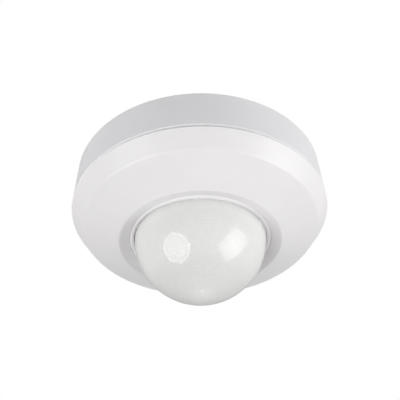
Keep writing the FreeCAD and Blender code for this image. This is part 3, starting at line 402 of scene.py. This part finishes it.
class Solids:
    """Closed solids gathered into one mesh."""

    def __init__(self):
        self.verts, self.faces = [], []

    def loft(self, rings):
        """A solid between its first and last ring of points, with a flat face on each."""
        first, sides = len(self.verts), len(rings[0])
        for ring in rings:
            self.verts.extend(ring)
        for level in range(len(rings) - 1):
            for side in range(sides):
                here, after = first + level * sides + side, first + level * sides + (side + 1) % sides
                self.faces.append((here, after, after + sides, here + sides))
        top = first + (len(rings) - 1) * sides
        self.faces.append(tuple(reversed(range(first, first + sides))))
        self.faces.append(tuple(range(top, top + sides)))

    def spun(self, place, outline, axis=UP, sides=20):
        """A solid of revolution from radii and distances along the axis."""
        turn = axis.to_track_quat("Z", "Y")
        angles = [2 * math.pi * side / sides for side in range(sides)]
        self.loft([[place + turn @ Vector((radius * math.cos(angle), radius * math.sin(angle), along)) * MM
                    for angle in angles] for radius, along in outline])

    def slab(self, place, size, turn=0.0, chamfer=0.1):
        """A block with chamfered upper and lower edges, turned about the vertical."""
        length, width, height = (measure / 2 for measure in size)
        spin = Quaternion(UP, turn)
        levels = ((chamfer, -height), (0, chamfer - height), (0, height - chamfer), (chamfer, height))
        corners = ((-1, -1), (1, -1), (1, 1), (-1, 1))
        self.loft([[place + spin @ Vector((x * (length - inset), y * (width - inset), level)) * MM
                    for x, y in corners] for inset, level in levels])

    def arc(self, place, radii, angles, height, steps=24):
        """A raised curved strip whose inner and outer radius run from their first to their last value."""
        (inner, last_inner), (outer, last_outer) = radii
        lower, upper = [], []
        for level, edge in ((-height / 2, lower), (height / 2, upper)):
            for way, start, end in ((range(steps + 1), inner, last_inner),
                                    (reversed(range(steps + 1)), outer, last_outer)):
                for step in way:
                    share = step / steps
                    angle = angles[0] + (angles[1] - angles[0]) * share
                    radius = start + (end - start) * share
                    edge.append(place + (reach_at(angle) * radius + UP * level) * MM)
        self.loft([lower, upper])

    def piece(self, name, body, slot):
        return riding(name, self.verts, self.faces, body, slot, 40)


def reach_at(angle):
    """The level direction at that angle."""
    return Vector((math.cos(angle), math.sin(angle), 0))


def spot(x, y, z):
    """A place given in millimetres."""
    return Vector((x, y, z)) * MM


def middle(node):
    """The middle of a node's box."""
    low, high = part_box(node)
    return (low + high) / 2


GATE_LEAN = math.radians(5.5)


def gate_mark():
    """The low button where the lens was moulded, a little off its lowest point; its white is a painted
    highlight.
    """
    outwards = Vector((0.0, -math.sin(GATE_LEAN), -math.cos(GATE_LEAN)))
    button = Solids()
    button.spun(Vector((0, 0, dome_centre)) + outwards * DOME_RADIUS,
                ((0.62, -0.12), (0.58, 0.02), (0.42, 0.08), (0.1, 0.1)), outwards)
    # Painted highlight: the button gets a whiter, opaque finish so that it shows as a bright dot on the lens.
    dress(button.piece("lens_gate_mark", "lens", "lens_milky"), moulded("gate_painted_highlight", GATE_HIGHLIGHT_WHITE, 0.15))


# The print round the knobs: the widths of its lines, the sweep that a knob turns through, and each scale's
# ticks and wedge.

MARK_DEPTH = 0.16
STROKE, TICK_STROKE, SYMBOL_STROKE = 0.25, 0.22, 0.2
SCALE_SWEEP = math.radians(270)
SCALE_STEPS = 10
TICK_RADIUS, LONG_TICK, SHORT_TICK = 4.5, 1.1, 0.7
WEDGE_INNER, WEDGE_OUTER = (5.9, 5.9), (6.0, 6.7)


def stroke(ink, centre, start, length, width, angle):
    """A straight printed line that leads away from a centre."""
    ink.slab(centre + reach_at(angle) * (start + length / 2) * MM, (length, width, MARK_DEPTH), angle, 0.03)


def dot(ink, place, radius):
    ink.spun(place, ((radius, -MARK_DEPTH / 2), (radius, MARK_DEPTH / 2)))


def knob_scales():
    """Printed round each knob: ticks, a wedge that widens with the setting, and a plain symbol."""
    ink = Solids()
    start = math.radians(90) + SCALE_SWEEP / 2
    for name in ("time", "lux", "sens"):
        place = middle(f"{name}_knob")
        place.z = CHASSIS_FACE * MM
        for tick in range(SCALE_STEPS + 1):
            length = LONG_TICK if tick % 5 == 0 else SHORT_TICK
            stroke(ink, place, TICK_RADIUS, length, TICK_STROKE, start - SCALE_SWEEP * tick / SCALE_STEPS)
        ink.arc(place, (WEDGE_INNER, WEDGE_OUTER), (start, start - SCALE_SWEEP), MARK_DEPTH, 48)
        symbol(ink, name, place + spot(0, -6, 0))
    ink.piece("knob_scales", "base", "knob_grey")


def symbol(ink, name, place):
    """A clock face for the time, a sun for the light threshold and spreading waves for the sensitivity."""
    if name == "time":
        ink.arc(place, ((1.0, 1.0), (1.0 + STROKE, 1.0 + STROKE)), (0, math.radians(350)), MARK_DEPTH)
        for length, degrees in ((0.8, 90), (0.6, 20)):
            stroke(ink, place, 0, length, SYMBOL_STROKE, math.radians(degrees))
    elif name == "lux":
        dot(ink, place, 0.5)
        for ray in range(8):
            stroke(ink, place, 0.75, 0.5, SYMBOL_STROKE, math.pi * ray / 4)
    else:
        source = place + spot(0, -1, 0)
        dot(ink, source, 0.3)
        for radius in (0.8, 1.4, 2.0):
            ink.arc(source, ((radius, radius), (radius + STROKE, radius + STROKE)),
                    (math.radians(50), math.radians(130)), MARK_DEPTH)


# Places on the sensor board: chips as x, y and a turn in degrees, and tracks as lines of points.

SENSOR_RESISTORS = ((-9, 9, 0), (-9, 11.5, 0), (-14, 8, 90), (8.5, 8, 90), (11, 8, 90), (-7, -10, 0),
                    (-7, -12.5, 0), (15, -8, 90), (3, 13, 0), (-3, 17, 90), (18, 8, 0), (-19, -8, 0))
SENSOR_CAPACITORS = ((0, 9, 0), (-16, -11, 90), (7, -9, 0), (11, -13, 90), (-12, 15, 0), (8, 18, 0))
SENSOR_TRACKS = (((-9, 9), (-5.5, 9), (-4, 7.5), (-4, 4)), ((-9, 11.5), (-3, 11.5), (3, 13)),
                 ((-14, 8), (-14, 4), (-13.2, 2.6)), ((8.5, 8), (8.5, 4), (5.2, 1.5)),
                 ((11, 8), (12.5, 5), (13.2, 1.8)), ((-7, -10), (-4, -7), (-4, -4)),
                 ((-7, -12.5), (-5.08, -15), (-5.08, -19)), ((7, -9), (4.5, -6.5), (3.4, -4)),
                 ((11, -13), (5.08, -16), (5.08, -19)), ((15, -8), (17, -4), (17, 4), (18, 8)),
                 ((-16, -11), (-18, -5), (-18, 5), (-14, 8)), ((3, 13), (5.5, 15), (8, 18)),
                 ((-12, 15), (-6, 19), (-3, 17)), ((0, -19), (0, -12), (2.2, -8), (2.2, -4.8)),
                 ((2.54, -19), (2.54, -14), (7, -9)), ((-2.54, -19), (-2.54, -13), (-7, -10)))
CHIP, CHIP_END, CHIP_REACH = (1.4, 1.0), (0.5, 1.08), 0.85
RESISTOR_HEIGHT, CAPACITOR_HEIGHT = 0.5, 0.85
TRACK_WIDTH, TRACK_DEPTH = 0.4, 0.12


def track(strips, start, end, face):
    """A strip from one point to the next, whose middle lies in the board's face."""
    gap = Vector(end) - Vector(start)
    place = spot((start[0] + end[0]) / 2, (start[1] + end[1]) / 2, face)
    strips.slab(place, (gap.length + TRACK_WIDTH, TRACK_WIDTH, TRACK_DEPTH), math.atan2(gap.y, gap.x), 0.02)


def sensor_board_parts():
    """Chip resistors and capacitors, tracks and pin joints on the sensor board's lower side."""
    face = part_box("sensor_pcb")[0].z / MM
    resistors, capacitors, tin, tracks = Solids(), Solids(), Solids(), Solids()
    for group, places, height in ((resistors, SENSOR_RESISTORS, RESISTOR_HEIGHT),
                                  (capacitors, SENSOR_CAPACITORS, CAPACITOR_HEIGHT)):
        for x, y, degrees in places:
            turn = math.radians(degrees)
            level = face - height / 2
            group.slab(spot(x, y, level), (*CHIP, height), turn, 0.06)
            reach = reach_at(turn) * CHIP_REACH * MM
            for side in (-1, 1):
                tin.slab(spot(x, y, level + 0.03) + reach * side, (*CHIP_END, height + 0.06), turn, 0.08)
    header = middle("board_header")
    for pin in range(-2, 3):
        tin.spun(Vector((header.x, header.y, 0)) + spot(pin * HEADER_PITCH, 0, face), SOLDER, DOWN)
    for path in SENSOR_TRACKS:
        for start, end in zip(path, path[1:]):
            track(tracks, start, end, face)
    resistors.piece("sensor_chip_resistors", "base", "black_resin")
    capacitors.piece("sensor_chip_capacitors", "base", "resistor_tan")
    tin.piece("sensor_board_tin", "base", "zinc_steel")
    tracks.piece("sensor_board_tracks", "base", "board_green")


# The wired parts on the main board, with where their leads come through it, from the middle of each part.

WIRED_PARTS = (("dropper_capacitor", ((-7.5, 0), (7.5, 0))), ("varistor", ((-2.5, 0), (2.5, 0))),
               ("fuse_resistor", ((-7, 0), (7, 0))), ("bulk_capacitor", ((-2.5, 0), (2.5, 0))),
               ("filter_capacitor", ((-1.25, 0), (1.25, 0))),
               ("bridge_rectifier", ((-2.5, -2.5), (2.5, -2.5), (-2.5, 2.5), (2.5, 2.5))),
               ("voltage_regulator", ((-1.27, 0), (0, 0), (1.27, 0))),
               ("driver_transistor", ((-1.27, 0), (0, 0), (1.27, 0))),
               ("relay_base", ((-8, -5), (-8, 5), (7, -5), (7, 0), (7, 5))),
               ("lead_live", ((0, -3.3),)), ("lead_neutral", ((0, -3.3),)), ("lead_load", ((0, -3.3),)))


def main_board_solder():
    """The joints of the wired parts, under the main board."""
    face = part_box("main_pcb")[0].z
    joints = Solids()
    for name, places in WIRED_PARTS:
        centre = middle(name)
        for x, y in places:
            joints.spun(Vector((centre.x, centre.y, face)) + spot(x, y, 0), SOLDER, DOWN)
    joints.piece("main_board_solder", "base", "zinc_steel")


# The resistor's bands: its own radius, how far they stand out and reach in, and half their widths.

BAND_RADIUS, BAND_PROUD, BAND_SINK = 1.8, 0.05, 0.1
BAND_HALF, BAND_TOP_HALF = 0.45, 0.35


def resistor_bands():
    """Coloured rings round the fusible resistor, whose body touches the top of its box."""
    centre = middle("fuse_resistor")
    centre.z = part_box("fuse_resistor")[1].z - BAND_RADIUS * MM
    lengthways = Vector((1, 0, 0))
    edge, full = BAND_RADIUS - BAND_SINK, BAND_RADIUS + BAND_PROUD
    outline = ((edge, -BAND_HALF), (full, -BAND_TOP_HALF), (full, BAND_TOP_HALF), (edge, BAND_HALF))
    for name, slot, places in (("resistor_bands_dark", "black_resin", (-3.4, 0.2)),
                               ("resistor_bands_brown", "wire_brown", (-1.6,)),
                               ("resistor_band_gold", "brass", (3.2,))):
        bands = Solids()
        for along in places:
            bands.spun(centre + lengthways * along * MM, outline, lengthways, ROUND_SIDES)
        bands.piece(name, "base", slot)


def capacitor_stripes():
    """The pale stripe that marks the negative lead of each can, and the bare metal of its end."""
    stripes, ends = Solids(), Solids()
    for name, inset in (("bulk_capacitor", 1.6), ("filter_capacitor", 1.2)):
        low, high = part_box(name)
        centre = (low + high) / 2
        radius = (high.x - low.x) / 2 / MM
        height = (high.z - low.z) / MM - 2 * inset
        stripes.arc(centre, ((radius - 0.2, radius - 0.2), (radius + 0.04, radius + 0.04)),
                    (math.radians(-115), math.radians(-65)), height)
        ends.spun(Vector((centre.x, centre.y, high.z)),
                  ((radius - 0.7, -0.3), (radius - 0.7, 0.02), (radius - 1.0, 0.06)), sides=ROUND_SIDES)
    stripes.piece("capacitor_stripes", "base", "ceramic")
    ends.piece("capacitor_ends", "base", "zinc_steel")


# The studio: a white room, a pale floor far below that only the camera sees, soft lamps, and two softboxes
# that the dome reflects. A softbox's glow lists strengths at shares of the way from its middle to its
# corners. FILLS gives directions from the object with watts, and LAMPS heights with sizes and watts.

SOFTBOX_DISTANCE = 0.9
LEFT = (-0.654, -0.454, -0.605)
LEFT_SPREAD = math.radians(25)
LEFT_GLOW = ((0.0, 4.2), (0.64, 4.0), (0.72, 1.4), (0.8, 5.0), (1.0, 5.2))
RIGHT = (0.795, -0.409, -0.448)
RIGHT_CORNERS = ((0.834, -0.552, 0.008), (0.997, 0.025, -0.069), (0.611, -0.037, -0.791),
                 (0.457, -0.595, -0.662))
RIGHT_GLOW = ((0.0, 5.8), (0.3, 4.4), (0.6, 3.1), (1.0, 2.8))
ROOM_GLOW, ROOM_GLOSS, ROOM_SEEN = 0.2, 0.5, 1.0
FILLS = (("fill_left", (-1, -0.1, -0.1), 0.25), ("fill_right", (1, -0.1, -0.1), 1.3),
         ("fill_back", (0, 0.8, -0.6), 0.65), ("fill_back_left", (-0.7, 0.7, -0.2), 1.1),
         ("fill_back_right", (0.7, 0.7, -0.2), 1.6), ("fill_high_left", (-0.8, -0.4, 0.5), 2.0),
         ("fill_high_right", (0.8, -0.4, 0.5), 3.1), ("fill_high_back", (0, 0.85, 0.5), 3.0))
FILL_CENTRE, FILL_SIZE = (0, 0, -0.03), 0.9
LAMPS = (("floor_lamp", -0.7, 3.0, 16.0), ("top_lamp", 1.0, 0.3, 5.0))
FLOOR_SIZE, FLOOR_LEVEL, FLOOR_GLOW = 12, -1.3, 0.72


def softbox(name, facing, corners, profile):
    """A flat softbox with its corners in the given directions, which the camera doesn't see."""
    facing = Vector(facing).normalized()
    reaches = [SOFTBOX_DISTANCE / Vector(corner).dot(facing) for corner in corners]
    places = [Vector(corner) * reach for corner, reach in zip(corners, reaches)]
    core = sum(places, Vector()) / len(places)
    size = max((place - core).length for place in places)
    mesh = bpy.data.meshes.new(name)
    mesh.from_pydata(places, [], [tuple(range(len(places)))])
    box = bpy.data.objects.new(name, mesh)
    box.location = (0, 0, dome_centre)
    bpy.context.scene.collection.objects.link(box)
    material = bpy.data.materials.new(name)
    material.use_nodes = True
    tree = material.node_tree
    tree.nodes.clear()
    place = tree.nodes.new("ShaderNodeTexCoord")
    gap = tree.nodes.new("ShaderNodeVectorMath")
    gap.operation = "DISTANCE"
    gap.inputs[1].default_value = core
    share = tree.nodes.new("ShaderNodeMapRange")
    share.inputs["From Max"].default_value = size
    ramp = tree.nodes.new("ShaderNodeValToRGB")
    peak = max(strength for _, strength in profile)
    fill_ramp(ramp, [(way, strength / peak) for way, strength in profile])
    glow = tree.nodes.new("ShaderNodeEmission")
    glow.inputs["Strength"].default_value = peak
    output = tree.nodes.new("ShaderNodeOutputMaterial")
    tree.links.new(place.outputs["Object"], gap.inputs[0])
    tree.links.new(gap.outputs["Value"], share.inputs["Value"])
    tree.links.new(share.outputs["Result"], ramp.inputs["Fac"])
    tree.links.new(ramp.outputs["Color"], glow.inputs["Color"])
    tree.links.new(glow.outputs["Emission"], output.inputs["Surface"])
    mesh.materials.append(material)
    box.visible_camera = False


def octagon(centre, angle):
    """The directions of eight corners, all at that angle from the centre's direction."""
    facing = Vector(centre).normalized()
    across = facing.cross(UP).normalized()
    upright = facing.cross(across)
    reach = math.tan(angle)
    return [facing + (across * math.cos(turn) + upright * math.sin(turn)) * reach
            for turn in (math.pi * (side + 0.5) / 4 for side in range(8))]


def lamp(name, place, backwards, size, strength):
    """A round soft lamp that shines away from the direction `backwards` and doesn't show itself."""
    light = bpy.data.lights.new(name, "AREA")
    light.shape = "DISK"
    light.size = size
    light.energy = strength
    holder = bpy.data.objects.new(name, light)
    bpy.context.scene.collection.objects.link(holder)
    holder.location = place
    holder.rotation_mode = "QUATERNION"
    holder.rotation_quaternion = backwards.to_track_quat("Z", "Y")
    holder.visible_camera = False
    holder.visible_glossy = False


def room():
    """A white room that gives the object less light, and less to reflect, than it shows the camera."""
    world = bpy.data.worlds.new("white_room")
    bpy.context.scene.world = world
    world.use_nodes = True
    tree = world.node_tree
    background = tree.nodes["Background"]
    background.inputs["Color"].default_value = (1, 1, 1, 1)
    path = tree.nodes.new("ShaderNodeLightPath")
    strength = ROOM_GLOW
    for ray, glow in (("Is Glossy Ray", ROOM_GLOSS), ("Is Camera Ray", ROOM_SEEN)):
        choice = tree.nodes.new("ShaderNodeMix")
        choice.inputs["B"].default_value = glow
        tree.links.new(path.outputs[ray], choice.inputs["Factor"])
        if isinstance(strength, float):
            choice.inputs["A"].default_value = strength
        else:
            tree.links.new(strength, choice.inputs["A"])
        strength = choice.outputs["Result"]
    tree.links.new(strength, background.inputs["Strength"])


def pale_floor():
    bpy.ops.mesh.primitive_plane_add(size=FLOOR_SIZE, location=(0, 0, FLOOR_LEVEL))
    floor = bpy.context.object
    floor.name = "studio_floor"
    finish = Finish("floor_paint")
    finish.vary_colour((0.80,) * 3, (0.84,) * 3, 0.4)
    finish.set(Roughness=0.8, Emission_Color=(1, 1, 1, 1), Emission_Strength=FLOOR_GLOW)
    # The floor's glow lights nothing, so it takes no samples from the lamps.
    finish.material.cycles.emission_sampling = "NONE"
    dress(floor, finish)
    floor.visible_diffuse = False
    floor.visible_glossy = False


def studio():
    room()
    pale_floor()
    softbox("softbox_left", LEFT, octagon(LEFT, LEFT_SPREAD), LEFT_GLOW)
    softbox("softbox_right", RIGHT, RIGHT_CORNERS, RIGHT_GLOW)
    for name, direction, strength in FILLS:
        towards = Vector(direction).normalized()
        lamp(name, Vector(FILL_CENTRE) + towards, towards, FILL_SIZE, strength)
    for name, height, size, strength in LAMPS:
        lamp(name, (0, 0, height), UP, size, strength)


# The camera: its lens and sensor are in millimetres, and its places in metres.

FOCAL_LENGTH, SENSOR_WIDTH = 61.2, 36
EYE = (0, -0.2411, -0.2139)
AIM = (0.0003, 0, -0.00954)
ROLL = math.radians(1.62)


def camera():
    """The eye hangs below and in front of the sensor, and looks up at it with a slight roll."""
    view = bpy.data.cameras.new("camera")
    view.lens = FOCAL_LENGTH
    view.sensor_width = SENSOR_WIDTH
    eye = bpy.data.objects.new("camera", view)
    bpy.context.scene.collection.objects.link(eye)
    eye.location = EYE
    aim = Vector(AIM) - eye.location
    eye.rotation_mode = "QUATERNION"
    turn = aim.to_track_quat("-Z", "Y")
    turn.rotate(Quaternion(aim.normalized(), ROLL))
    eye.rotation_quaternion = turn
    bpy.context.scene.camera = eye


dome_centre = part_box("dome_lens")[0].z + DOME_RADIUS
camera()
studio()
bpy.context.scene.view_settings.view_transform = "Standard"
made = finishes()
made["lens_milky"] = milky(dome_centre)
slots = {row["node"]: row["material_slot"] for row in frame["record"]["subparts"]}
for name, piece in frame["nodes"].items():
    dress(piece, made[slots[name]])
lens_facets(dome_centre)
lens_foot(dome_centre)
seam_lip()
gate_mark()
knob_scales()
sensor_board_parts()
main_board_solder()
resistor_bands()
capacitor_stripes()
